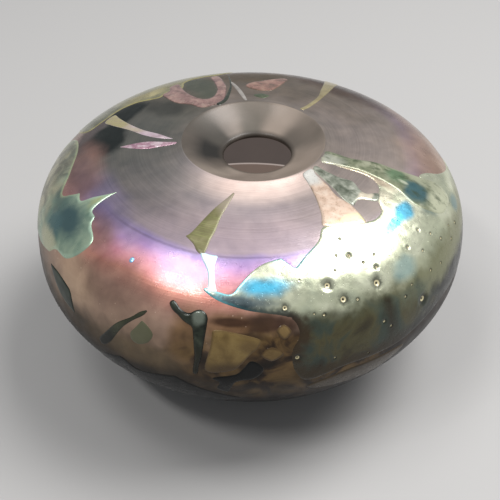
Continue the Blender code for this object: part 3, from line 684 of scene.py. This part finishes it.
# What lies over the body's bands of colour, as Recipe.paint takes it.
TOP_PLACES = [
    (4, 2, 40, 5.5, (236, 214, 204), 0.9, 1.3, 0.05),           # painted sheen: the light edge under the lip at the front
    (-116, 13, 36, 15, (92, 92, 84), 0.85, 0.7),                # dark, greenish glass behind the mouth on the left
    (180, 20, 62, 18, (96, 88, 76), 0.7, 0.9), (-156, 16, 8, 11, (80, 90, 78), 0.7, 0.6),
    (-104, 30, 16, 4, (66, 50, 46), 0.8, 0.7), (-84, 13, 50, 17, (92, 94, 91), 0.8, 1.2, 0.1),
    (-53, 33, 9, 5, (150, 120, 110), 0.75, 1.0),
]
SIDE_PLACES = [
    # a blue-violet fringe and reddish mauve beside the left patch, then copper and brown below
    (-62, 26, 14, 5, (120, 110, 146), 0.5, 1.2), (-82, 29, 15, 6, (138, 108, 100), 0.7, 1.0),
    (-50, 47, 8, 7, (196, 172, 148), 0.7, 1.0), (-38, 42, 12, 6, (106, 86, 78), 0.5, 1.0),
    (-15, 50, 4, 8, (122, 96, 62), 0.8, 1.2),
]
LOW_PLACES = [
    # brown smears and amber glows low on the front
    (3, 44.5, 9, 2.4, (66, 48, 38), 0.9, 1.0), (-6, 45, 5, 3, (136, 106, 76), 0.7, 1.0),
    (-4.5, 44, 4.5, 1.1, (70, 50, 38), 0.9, 0.8, 0.2), (-1.5, 48, 5, 1.3, (58, 44, 32), 0.85, 0.9, 0.2),
    (-28, 59, 10, 4, (118, 104, 82), 0.8, 1.0),
    # beige towards the right silhouette, dark brown behind
    (92, 34, 12, 10, (186, 160, 142), 0.6, 1.2), (142, 27, 22, 7, (74, 58, 50), 0.85, 1.0),
    (180, 24, 16, 8, (84, 72, 54), 0.7, 1.0),
]


def body_glass():
    """Smoky amethyst with a brushed lustre on top, rainbow bands at the shoulder, copper and brown below, darkened
    towards the foot with painted shade.
    """
    r = Recipe("body_glass")
    slow = r.noise(0.045, 3.0, warp=0.6)
    share = r.math("DIVIDE", r.plus(r.drop, r.swing(slow, 7.0)), 124.0)
    # the front: brushed grey mauve, thin dark line, violet, pink, salmon, copper, mauve brown, then a dark foot: brown
    # glass under painted shade
    front = r.ramp(share, [
        (0.00, (188, 176, 176)), (0.05, (172, 162, 162)), (0.13, (164, 150, 154)), (0.20, (160, 146, 154)),
        (0.215, (156, 140, 182)), (0.24, (190, 158, 200)), (0.27, (222, 164, 178)), (0.305, (208, 150, 136)),
        (0.345, (182, 150, 136)), (0.38, (166, 143, 128)), (0.43, (142, 123, 107)), (0.47, (90, 78, 62)),
        (0.51, (76, 66, 52)), (0.55, (34, 29, 24)), (0.65, (22, 20, 18)), (1.0, (20, 18, 17))])
    # round the right and the back: quieter, grey mauve and beige, then dark towards the foot with painted shade
    back = r.ramp(share, [
        (0.00, (130, 122, 116)), (0.05, (136, 127, 122)), (0.10, (138, 129, 124)), (0.19, (138, 129, 124)),
        (0.23, (146, 130, 140)), (0.28, (160, 136, 128)), (0.32, (152, 134, 121)), (0.37, (122, 106, 96)),
        (0.43, (70, 60, 52)), (0.55, (38, 32, 28)), (0.75, (28, 24, 22)), (1.0, (24, 21, 20))])
    colour = r.mix(r.spot(-22, 30, 52, 60, soft=0.9, ragged=0.12), back, front)
    colour = r.paint(colour, TOP_PLACES)
    # near-black glass beside the gold patch
    black = r.math("MAXIMUM", r.spot(-98, 23, 11, 7), r.spot(-118, 23, 12, 5))
    black = r.math("MAXIMUM", black, r.times(r.spot(-128, 12, 9, 8, soft=0.9), 0.6))
    colour = r.tint(black, 0.95, colour, (20, 27, 27))
    # the fine dark line where the brushing ends
    thin = r.math("ABSOLUTE", r.minus(r.plus(r.drop, r.times(slow, 1.2)), 27.2))
    line = r.times(r.span(thin, 0.5, 0.12), r.spot(-20, 27, 34, 8, soft=0.8, ragged=0.1))
    colour = r.tint(line, 0.35, colour, (96, 82, 96))
    colour = r.paint(colour, SIDE_PLACES)
    # mottled amber, olive and brown glass low on the front
    mottled = r.ramp(r.noise(0.11, 4.0, warp=1.0), [
        (0.38, (34, 27, 20)), (0.46, (62, 48, 34)), (0.53, (104, 84, 54)), (0.62, (128, 106, 68)),
        (0.72, (70, 62, 46))])
    colour = r.mix(r.spot(13, 57, 27, 14, soft=0.7), colour, mottled)
    colour = r.paint(colour, LOW_PLACES)
    # brushed rings on the top
    brushed = r.noise(1.0, 4.0, vector=r.ring_space(3.4, 0.8), rough=0.7)
    lines = r.span(brushed, 0.35, 0.68, 0.92, 1.07)
    colour = r.shaded(colour, r.plus(r.times(r.minus(lines, 1.0), r.span(r.drop, 30, 22)), 1.0))
    # pale grains on the side, and clouds
    grains = r.times(r.specks(0.9, 0.2, 0.14), r.times(r.span(r.drop, 28, 36), r.span(r.drop, 54, 46)))
    colour = r.tint(grains, 0.55, colour, (226, 204, 186))
    cloud = r.ramp(r.noise(0.16, 4.0, warp=0.4), [(0.32, (66, 58, 58)), (0.68, (200, 184, 172))])
    colour = r.mix(r.span(r.drop, 24, 34, 0.3, 0.55), colour, cloud, "SOFT_LIGHT")
    normal = r.bump(grains, 0.12, 0.0004, r.bump(brushed, 0.10, 0.0004))
    rough = r.span(r.noise(0.3, 3.0), 0.3, 0.7, 0.26, 0.36)
    rough = r.plus(r.plus(rough, r.span(r.drop, 42, 62, 0, 0.12)), r.span(r.drop, 29, 24, 0, 0.12))
    matt = r.minus(1.0, r.times(black, 0.85))
    gloss = r.times(r.times(r.span(r.drop, 24, 31, 0.12, 0.5), r.low_down(1.0, 0.1)), matt)
    shine = r.times(r.times(r.span(r.drop, 24, 31, 0.42, 0.55), r.low_down(1.0, 0.15)), matt)
    return r.done(colour, shine, rough, coat=gloss, normal=normal, specular=0.2)


def mouth_glass():
    """The smoky funnel, with painted shade where the wall behind it is dark, stronger towards the throat, and painted
    soft highlights at the back.
    """
    r = Recipe("mouth_glass")
    colour = r.clouds(0.10, [(108, 99, 89), (122, 111, 101), (136, 124, 113)], warp=0.5)
    low = r.span(r.height, 72.6, 67.4)
    # Dark places, stronger towards the throat, are painted shade; the pale ones at 146 and -152 on the back are
    # painted soft highlights.
    # azimuth, half width, weight, more towards the throat, swatch
    for azimuth, half, weight, throat_shade, swatch in (
            (-90, 34, 0.62, 0.8, (34, 32, 29)), (-128, 20, 0.6, 0.6, (66, 62, 56)), (178, 14, 0.45, 0.4, (84, 80, 72)),
            (112, 20, 0.5, 0.5, (84, 77, 70)), (-52, 14, 0.05, 0.7, (60, 52, 46)), (74, 12, 0.0, 0.5, (64, 58, 50)),
            (146, 13, 0.6, 0.0, (150, 136, 124)), (-152, 12, 0.5, 0.0, (134, 124, 116)),
            (58, 26, 0.5, 0.0, (142, 127, 115)), (2, 26, 0.25, 0.0, (126, 110, 102))):
        share = r.math("ADD", r.times(low, throat_shade), weight, clamp=True)
        colour = r.tint(r.spot(azimuth, 0, half, 30, soft=1.2, ragged=0.08), share, colour, swatch)
    # painted shade: the dark line where the throat's edge turns under
    edge = r.times(r.span(r.height, 68.9, 68.3), r.span(r.height, 66.4, 67.0))
    colour = r.tint(edge, 0.75, colour, (58, 52, 46))
    return r.done(colour, 0.05, 0.42, coat=0.16, coat_roughness=0.22, specular=0.25)


def inside_glass(name, paint, light):
    """The inside, seen down the throat; it glows a little, as if lit through the wall."""
    r = Recipe(name)
    colour = r.clouds(0.08, [[share * v for v in paint] for share in (0.85, 1.1)])
    r.shader.inputs["Emission Color"].default_value = tone(*paint)
    r.shader.inputs["Emission Strength"].default_value = light
    return r.done(colour, 0.0, 0.4)


def foot_glass():
    """The polished hollow under the foot."""
    r = Recipe("foot_glass")
    colour = r.clouds(0.2, [(52, 46, 44), (78, 70, 66)])
    return r.done(colour, 0.3, 0.15, coat=0.5)


def bit_glass(name, tones, grain=0.12, rim=None, rims=(), spots=(), metallic=0.5, roughness=0.3, coat=0.6,
              streaks=None, dots=None, pits=0.0, low=0.4, pit_shade_glint=None, mottles=()):
    """One bit's glass: clouded tones, a fringe along its edge, and places of another colour.

    tones are swatches, or (position, swatch) stops. spots are places as Recipe.paint takes them, mottles are (zone,
    scale, stops), streaks are (swatch, scale down, weight, scale round), dots are (swatch, scale, size, weight), a
    rim is (swatch, width, weight) and perhaps a zone, and pit_shade_glint is two swatches: the craters' painted shade
    and painted highlight.
    """
    r = Recipe(name)
    colour = r.paint(r.clouds(grain, tones, 4.0, warp=0.6), spots, ragged=0.22, grain=0.22)
    for zone, scale, stops in mottles:
        patches = r.ramp(r.noise(scale, 4.0, warp=1.0), stops)
        colour = r.mix(r.spot(*zone, soft=0.9), colour, patches)
    if streaks:
        swatch, along, weight, turn = streaks
        lines = r.noise(1.0, 3.0, vector=r.ring_space(along, turn), rough=0.7)
        colour = r.tint(r.span(lines, 0.48, 0.7), weight, colour, swatch)
    if dots:
        swatch, scale, size, weight = dots
        colour = r.tint(r.specks(scale, size, 0.5), weight, colour, swatch)
    for swatch, width, weight, *zone in ([rim] if rim else []) + list(rims):
        wavy = r.plus(r.edge, r.swing(r.noise(0.5, 2.0), width))
        fringe = r.span(wavy, width, width * 0.25)
        if zone:
            fringe = r.times(fringe, r.spot(*zone[0], soft=0.7, ragged=0.1))
        colour = r.tint(fringe, weight, colour, swatch)
    normal = None
    if pit_shade_glint:
        # craters: the dark pit and dark eye are painted shade, the pale ring is a painted highlight
        pit = r.add("Attribute", attribute_name="pit").outputs["Fac"]
        uneven = r.plus(pit, r.swing(r.noise(0.9, 2.0), 0.9))
        colour = r.tint(r.span(uneven, 1.15, 0.35), 0.85, colour, pit_shade_glint[0])
        colour = r.tint(r.times(r.span(pit, 0.42, 0.32), r.span(pit, 0.12, 0.22)), 0.9, colour, pit_shade_glint[1])
        colour = r.mix(r.span(pit, 0.2, 0.1), colour, tone(40, 34, 24))
        metallic = r.span(uneven, 0.3, 1.1, metallic * 0.25, metallic)
    if pits:
        fine = r.specks(1.3, 0.2, 0.35)
        # painted shade: the fine pits are darkened where they are bumped in
        colour = r.tint(fine, 0.35, colour, (60, 62, 50))
        normal = r.bump(r.times(fine, -1.0), pits, 0.0005)
        normal = r.bump(r.noise(0.4, 3.0), pits * 0.25, 0.0012, normal)
    rough = r.span(r.noise(0.4, 3.0), 0.3, 0.7, roughness - 0.05, roughness + 0.06)
    shine = r.times(r.low_down(1.0, low), metallic)
    return r.done(colour, shine, rough, coat=r.low_down(coat, 0.15), normal=normal, specular=0.2)


# The look of each bit: what bit_glass is told.
SLATE = dict(tones=[(9, 11, 12), (17, 20, 21)], rims=[((96, 84, 66), 0.3, 0.8)], metallic=0.2, coat=0.1)
LOOKS = {
    "silver_patch": dict(
        tones=[(0.25, (166, 174, 154)), (0.45, (196, 200, 172)), (0.62, (214, 216, 190)), (0.8, (186, 192, 168))],
        grain=0.08, metallic=0.8, pits=0.35, low=0.15,
        mottles=[
            ((24, 55, 24, 10), 0.075, [(0.36, (46, 38, 27)), (0.46, (54, 58, 49)), (0.55, (60, 70, 62)),
                                       (0.64, (82, 78, 54)), (0.74, (50, 45, 34))])],
        # crater paint: painted shade in the pits and a painted highlight on their rings
        pit_shade_glint=((38, 40, 32), (226, 214, 172)),
        rims=[((130, 210, 220), 1.1, 0.8, (-6, 37, 10, 6)), ((130, 214, 226), 1.0, 0.7, (15, 28, 8, 5)),
            ((34, 52, 56), 2.6, 0.85, (4, 42, 14, 4)), ((60, 47, 34), 5.0, 0.9, (10, 50, 12, 8)),
            ((66, 54, 36), 6.0, 0.9, (22, 64, 26, 7)), ((40, 42, 38), 5.0, 0.9, (66, 60, 30, 8))],
        # The near-black (72, 57) and the dark (26, 58) low down are painted reflection of the shadowed floor.
        spots=[(58, 50, 60, 8, (112, 112, 84), 0.9, 0.9), (24, 51, 24, 6, (86, 88, 66), 0.9, 0.9),
            (26, 58, 26, 6, (56, 60, 50), 0.95, 0.8), (40, 49, 10, 3, (100, 108, 92), 0.7, 0.8),
            (72, 57, 34, 6, (20, 23, 22), 1.0, 0.8), (18, 46, 14, 3, (74, 78, 64), 0.6, 1.0),
            (46, 61, 20, 4, (62, 56, 46), 0.8, 0.8), (-4, 39, 10, 2.2, (30, 70, 96), 0.8, 0.9),
            (3.5, 35.2, 6.2, 2.3, (70, 196, 238), 0.9, 1.3), (58, 29.3, 4.4, 2.6, (74, 160, 190), 0.95, 0.7),
            (51.5, 29.6, 4.6, 1.5, (84, 172, 200), 0.95, 0.7), (47, 30.2, 3.6, 1.2, (96, 186, 208), 0.85, 0.8),
            (70, 34, 6, 4, (96, 128, 126), 0.7, 0.8), (55, 22, 8, 3, (222, 212, 188), 0.7, 0.9),
            (64.5, 14, 2.5, 9, (216, 196, 170), 0.9, 0.7), (44, 41, 4, 3, (120, 176, 188), 0.4, 1.0),
            (79, 43, 3, 2, (86, 126, 134), 0.6, 1.0), (39.5, 21.8, 1.5, 1.2, (104, 96, 50), 0.7, 0.8)]),
    "silver_tail": dict(tones=[(226, 232, 232), (244, 248, 248)], metallic=0.15, rim=((110, 200, 220), 0.6, 0.6)),
    "salmon_strap": dict(
        tones=[(176, 150, 130), (204, 178, 158), (214, 194, 176)], grain=0.5, rim=((92, 92, 76), 0.45, 0.6),
        dots=((104, 78, 58), 2.2, 0.3, 0.55),
        spots=[(43, 2, 8, 4, (206, 206, 200), 0.9, 0.9), (36, 22.5, 9, 2.2, (222, 214, 168), 0.9, 0.7)], metallic=0.3,
        roughness=0.34),
    "veil_strap": dict(
        tones=[(92, 98, 84), (132, 136, 122), (172, 174, 160)], grain=0.4, rim=((168, 168, 150), 0.45, 0.5),
        spots=[(52, 18.5, 5, 1.6, (214, 202, 180), 0.9, 0.6)], streaks=((64, 72, 56), 0.25, 0.7, 30), metallic=0.35),
    "green_strap": dict(
        tones=[(104, 111, 88), (134, 139, 112), (172, 173, 148)], grain=0.3, streaks=((62, 76, 52), 0.25, 0.7, 26),
        low=0.5, metallic=0.45,
        rims=[((184, 180, 156), 1.1, 0.6, (64, 12, 5, 14)), ((178, 178, 152), 1.4, 0.6, (78, 26, 5, 9))],
        spots=[(72.5, 22.5, 4, 3, (92, 124, 92), 0.7, 0.9), (69.3, 29.4, 4.8, 3.8, (56, 92, 98), 0.95, 0.8),
            (66, 3, 6, 5, (190, 190, 178), 0.6, 1.0), (75, 37.5, 10, 4, (196, 198, 170), 1.0, 0.8),
            (77, 30, 3, 6, (170, 172, 146), 0.8, 0.8), (70.6, 24.8, 0.7, 1.5, (206, 208, 184), 0.6, 0.9)]),
    "olive_strap": dict(
        tones=[(0.3, (100, 98, 66)), (0.55, (118, 114, 80)), (0.75, (136, 130, 98))], grain=0.25,
        streaks=((146, 150, 96), 3.0, 0.5, 3), metallic=0.2, roughness=0.42, coat=0.2,
        spots=[(-12, 6, 5, 6, (150, 138, 124), 0.9, 1.2)], rim=((130, 120, 104), 0.5, 0.6)),
    "left_patch": dict(
        tones=[(112, 138, 122), (142, 162, 142), (164, 182, 156)], grain=0.16,
        rims=[((182, 208, 184), 1.5, 0.8, (-60, 32, 10, 14)), ((170, 178, 140), 1.2, 0.6, (-90, 40, 24, 18))],
        low=0.5,
        mottles=[
            ((-93, 43, 17, 12), 0.16, [(0.38, (118, 116, 100)), (0.5, (148, 146, 124)), (0.64, (176, 170, 142))])],
        spots=[(-63.5, 37.4, 7, 4.8, (60, 88, 92), 0.95, 1.0), (-68, 42, 5, 3.4, (78, 108, 110), 0.85, 1.1),
            (-75, 36.5, 5, 3, (80, 106, 100), 0.8, 1.0), (-61, 24, 3, 6, (184, 190, 136), 0.8, 0.9),
            (-66, 47, 7, 3, (178, 178, 150), 0.9, 0.9)], metallic=0.55),
    "left_leaf": dict(
        tones=[(36, 44, 38), (60, 68, 58)], grain=0.2, rim=((22, 28, 24), 0.7, 0.8), roughness=0.34, metallic=0.2,
        coat=0.2),
    "olive_stroke": dict(
        tones=[(52, 55, 42), (70, 72, 56)], grain=0.2, rim=((34, 36, 28), 0.5, 0.6),
        spots=[(-37, 59, 4, 6, (22, 25, 20), 0.95, 0.9)], metallic=0.2, coat=0.3),
    "round_leaf": dict(
        tones=[(88, 88, 66), (102, 102, 80)], rim=((70, 72, 54), 0.35, 0.5), metallic=0.3, roughness=0.36, coat=0.4),
    "dark_drop": dict(
        tones=[(0.3, (32, 36, 30)), (0.55, (54, 60, 50)), (0.75, (78, 82, 68))], grain=0.3,
        rim=((18, 20, 16), 0.8, 0.8), metallic=0.4, pits=0.3,
        # the pale spot at the top (-12.4, 43.6) is a painted highlight
        spots=[(-12.4, 43.6, 1.5, 1.8, (122, 130, 118), 0.7, 0.9), (-12.4, 57, 2, 6, (34, 34, 24), 0.9, 0.8)]),
    "blue_dot": dict(
        tones=[(120, 190, 230), (176, 226, 250)], grain=0.8, rim=((70, 90, 190), 0.4, 0.7), roughness=0.2),
    "amber_patch": dict(
        tones=[(0.3, (104, 84, 50)), (0.5, (130, 108, 66)), (0.72, (146, 124, 78))], grain=0.16,
        rim=((84, 66, 44), 1.0, 0.6), metallic=0.3,
        spots=[(-4, 58.5, 6, 3, (78, 62, 42), 0.9, 1.0), (0, 50.5, 2.5, 2, (98, 78, 50), 0.7, 1.0)]),
    "amber_fleck_upper": dict(tones=[(104, 82, 52), (138, 114, 74)], rim=((72, 55, 38), 1.0, 0.8), metallic=0.3),
    "amber_fleck_lower": dict(tones=[(104, 82, 50), (130, 108, 68)], rim=((72, 55, 38), 1.0, 0.8), metallic=0.3),
    "amber_band": dict(tones=[(64, 52, 35), (92, 76, 52)], rim=((116, 98, 74), 0.6, 0.4), metallic=0.3),
    "base_trail_left": SLATE,
    "base_trail_front": SLATE,
    "pink_streak_long": dict(
        tones=[(188, 166, 168), (206, 184, 194), (222, 204, 206)], grain=0.3,
        spots=[(-112, 24, 9, 8, (182, 172, 118), 0.9, 0.9), (-103, 16, 3, 4, (196, 184, 150), 0.7, 1.0)],
        streaks=((160, 132, 140), 0.25, 0.5, 26), rim=((230, 214, 220), 0.4, 0.5)),
    "pink_streak_short": dict(
        tones=[(150, 104, 124), (186, 146, 160), (230, 208, 214)], grain=0.5, streaks=((240, 226, 230), 0.3, 0.6, 30)),
    "gold_edge_patch": dict(
        tones=[(134, 132, 104), (160, 156, 118), (182, 174, 128)], grain=0.2, metallic=0.7,
        mottles=[((-112, 33, 14, 9), 0.2, [(0.38, (120, 122, 104)), (0.6, (158, 158, 134))])],
        # the bright yellow spot at (-138, 25.3) is a painted highlight
        spots=[(-138, 25.3, 5, 2.4, (255, 238, 168), 1.0, 0.9), (-130, 27.5, 6, 3, (190, 178, 124), 0.8, 0.9),
            (-146, 25, 10, 6, (176, 168, 124), 0.7, 1.0)], rims=[((208, 196, 130), 1.0, 0.6)],
        streaks=((110, 104, 74), 0.5, 0.5, 12)),
    "pink_patch": dict(
        tones=[(128, 100, 94), (160, 126, 120), (186, 152, 140)], grain=0.4, streaks=((196, 172, 156), 0.4, 0.55, 16),
        rim=((58, 52, 44), 0.6, 0.75)),
    "back_sliver": dict(tones=[(150, 144, 138), (196, 188, 180)], grain=0.3, rim=((74, 66, 58), 0.3, 0.6)),
    "back_fleck_pink": dict(
        tones=[(128, 102, 90), (166, 124, 112), (190, 154, 136)], grain=0.4, streaks=((104, 98, 80), 2.5, 0.6, 3),
        rim=((92, 82, 68), 0.7, 0.7)),
    "back_fleck_green": dict(tones=[(74, 84, 66), (104, 112, 88)], grain=0.4),
    "gold_strap_back": dict(tones=[(150, 136, 100), (176, 164, 124)], grain=0.3, rim=((120, 108, 80), 0.5, 0.4)),
    "back_patch": dict(
        tones=[(0.25, (120, 130, 112)), (0.5, (176, 182, 156)), (0.75, (200, 202, 178))], grain=0.1,
        rim=((110, 160, 164), 1.4, 0.6), metallic=0.75, pits=0.5),
    "back_leaf": dict(tones=[(50, 60, 52), (74, 84, 72)], rim=((30, 38, 32), 0.5, 0.6), roughness=0.22),
    "back_drop": dict(
        tones=[(0.3, (36, 44, 40)), (0.55, (74, 86, 80)), (0.75, (112, 122, 112))], grain=0.22,
        rim=((24, 28, 26), 0.9, 0.7), metallic=0.6, roughness=0.24, pits=0.3),
    "base_trail_back": SLATE,
}

# Burst bubbles in the silver patch: azimuth, drop, radius and depth.
CRATERS = [
    (34.2, 40.6, 2.3, 0.62), (23.8, 41.4, 2.1, 0.62), (47, 52.4, 2.2, 0.55), (20.6, 36.8, 1.9, 0.50),
    (8.6, 40.6, 1.6, 0.50), (10.9, 54.9, 1.5, 0.40), (30, 31, 1.2, 0.30), (18, 44, 0.8, 0.28),
    (36, 36.8, 0.9, 0.28), (15.6, 43.2, 0.55, 0.2), (41, 47.9, 0.7, 0.22), (27.4, 42.6, 0.8, 0.22),
    (48.6, 37, 0.8, 0.2), (52.5, 40.5, 0.7, 0.2), (56, 35.6, 0.8, 0.2), (59, 39, 0.7, 0.2), (61.5, 42.5, 0.8, 0.2),
    (33, 34.2, 0.5, 0.18), (37.4, 33.6, 0.5, 0.18), (26.2, 29.8, 0.5, 0.15), (33.5, 51.5, 0.9, 0.25),
    (35.5, 54, 0.7, 0.2), (44, 46, 0.6, 0.18), (39.5, 22, 0.7, 0.25), (30.2, 25.6, 0.5, 0.15), (24, 33.6, 0.4, 0.15),
    (13.5, 34, 0.4, 0.12), (52, 46.5, 0.7, 0.2), (66, 46, 0.8, 0.2), (72, 45, 0.7, 0.2), (20, 57.5, 0.6, 0.2),
    (29, 60, 0.5, 0.2), (57, 47.5, 0.6, 0.18), (68, 42.8, 0.6, 0.18),
]


# ---- pieces ----

# The inside's three materials glow as painted light: the low one paler, and the thin line brightest, a painted
# highlight.
vessel = vessel_mesh([
    body_glass(), mouth_glass(), inside_glass("inside_glass", (112, 103, 99), 0.46), foot_glass(),
    inside_glass("inside_lit_low_glass", (132, 116, 107), 0.6), inside_glass("inside_glint_glass", (176, 164, 158), 0.8)])
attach(vessel, "root")
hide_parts("vessel_body")

# How far a bit stands proud: more where it lies over a neighbour.
PROUD_FLAT = 0.16
PROUD = {"pink_patch": 0.2, "salmon_strap": 0.26, "veil_strap": 0.22, "green_strap": 0.26, "olive_strap": 0.22,
         "silver_tail": 0.19, "round_leaf": 0.14, "olive_stroke": 0.24}
for name, glass, proud, points in BITS:
    material = bit_glass(name + "_glass", **LOOKS[name])
    craters = CRATERS if name == "silver_patch" else ()
    piece = bit_mesh(name + "_lustre", points, max(proud, PROUD.get(name, PROUD_FLAT)), material, craters)
    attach(piece, "root")
    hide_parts(name)

# Thin threads of dark glass: each centre line as (azimuth, drop, half width).
THREAD_PROUD = 0.32
THREADS = {
    "strap_thread_left": [(49.5, 1.4, 0.35), (47.6, 4, 0.3), (45.8, 8, 0.25), (44.4, 12, 0.25), (44.4, 16, 0.35),
                          (45.2, 18.6, 0.3)],
    "strap_thread_right": [(51.2, 2, 0.2), (49.4, 6, 0.2), (47.8, 10, 0.2), (47.4, 14, 0.3), (48, 17.6, 0.25)],
    "back_thread": [(-151, 1.3, 0.9), (-157, 2.4, 1.0), (-162, 4.8, 1.0), (-166, 8.5, 0.9), (-168.6, 12.5, 0.8),
                    (-170, 18, 0.9), (-170.6, 24, 0.7), (-171, 28, 0.3)],
}


def thread_outline(line):
    """Closed outline of a thread, from its centre line and half widths."""
    line = np.array(line, float)
    degree = degree_at(line[:, 1])
    along = np.gradient(np.stack([line[:, 0] * degree, line[:, 1]], axis=-1), axis=0)
    along /= np.linalg.norm(along, axis=1)[:, None]
    side = np.stack([-along[:, 1] / degree, along[:, 0]], axis=-1) * line[:, 2:3]
    left, right = line[:, :2] + side, line[:, :2] - side
    return [tuple(p) for p in left] + [tuple(p) for p in right[::-1]]


for name, line in THREADS.items():
    material = bit_glass(name + "_glass", [(26, 30, 26), (60, 66, 54)], grain=0.5, metallic=0.2)
    piece = bit_mesh(name, thread_outline(line), THREAD_PROUD, material, spacing=0.5)
    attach(piece, "root")


# ---- floor, light and camera, in metres ----

FLOOR_HALF, FLOOR_STEPS = 1.6, 24
FLOOR_COLOUR = (0.44, 0.43, 0.42, 1)
LAMP_TARGET, LAMP_DISTANCE = Vector((0, 0, 0.04)), 0.9
SKY_COLOUR, SKY_STRENGTH = (0.93, 0.96, 1.0, 1), 0.32
CAMERA_TARGET, CAMERA_DISTANCE = Vector((0, 0, 0.03075)), 0.3045
CAMERA_PITCH, CAMERA_LENS, CAMERA_SENSOR = 40, 68.4, 36


def add_floor():
    """A plain pale floor."""
    line = np.linspace(-FLOOR_HALF, FLOOR_HALF, FLOOR_STEPS)
    points = [(x, y, 0) for y in line for x in line]
    corners = [j * FLOOR_STEPS + i for j in range(FLOOR_STEPS - 1) for i in range(FLOOR_STEPS - 1)]
    faces = [(k, k + 1, k + 1 + FLOOR_STEPS, k + FLOOR_STEPS) for k in corners]
    material = bpy.data.materials.new("floor_paper")
    material.use_nodes = True
    shader = material.node_tree.nodes["Principled BSDF"]
    shader.inputs["Base Color"].default_value = FLOOR_COLOUR
    shader.inputs["Roughness"].default_value = 0.6
    mesh_object("floor", np.array(points) / MM, faces, [material])


def aim(name, data, target, azimuth, elevation, distance):
    """A lamp or camera that looks at the target from this direction and distance."""
    a, e = math.radians(azimuth), math.radians(elevation)
    made = bpy.data.objects.new(name, data)
    made.location = target + distance * Vector((math.cos(e) * math.sin(a), -math.cos(e) * math.cos(a), math.sin(e)))
    made.rotation_euler = (target - made.location).to_track_quat("-Z", "Y").to_euler()
    bpy.context.scene.collection.objects.link(made)
    return made


def add_lamp(name, azimuth, elevation, width, height, power):
    """A soft rectangular lamp."""
    lamp = bpy.data.lights.new(name, "AREA")
    lamp.shape = "RECTANGLE"
    lamp.size = width
    lamp.size_y = height
    lamp.energy = power
    aim(name, lamp, LAMP_TARGET, azimuth, elevation, LAMP_DISTANCE)


add_floor()
add_lamp("lamp_front", -48, 57, 0.30, 0.07, 2.0)
add_lamp("lamp_over", -85, 73, 0.30, 0.26, 1.6)
add_lamp("lamp_right", 104, 61, 0.48, 0.54, 8.5)

world = bpy.data.worlds.new("studio")
bpy.context.scene.world = world
world.use_nodes = True
sky = world.node_tree.nodes["Background"]
sky.inputs["Color"].default_value = SKY_COLOUR
sky.inputs["Strength"].default_value = SKY_STRENGTH

camera_data = bpy.data.cameras.new("camera")
camera_data.lens = CAMERA_LENS
camera_data.sensor_width = CAMERA_SENSOR
bpy.context.scene.camera = aim("camera", camera_data, CAMERA_TARGET, 0, CAMERA_PITCH, CAMERA_DISTANCE)
bpy.context.scene.view_settings.view_transform = "Standard"
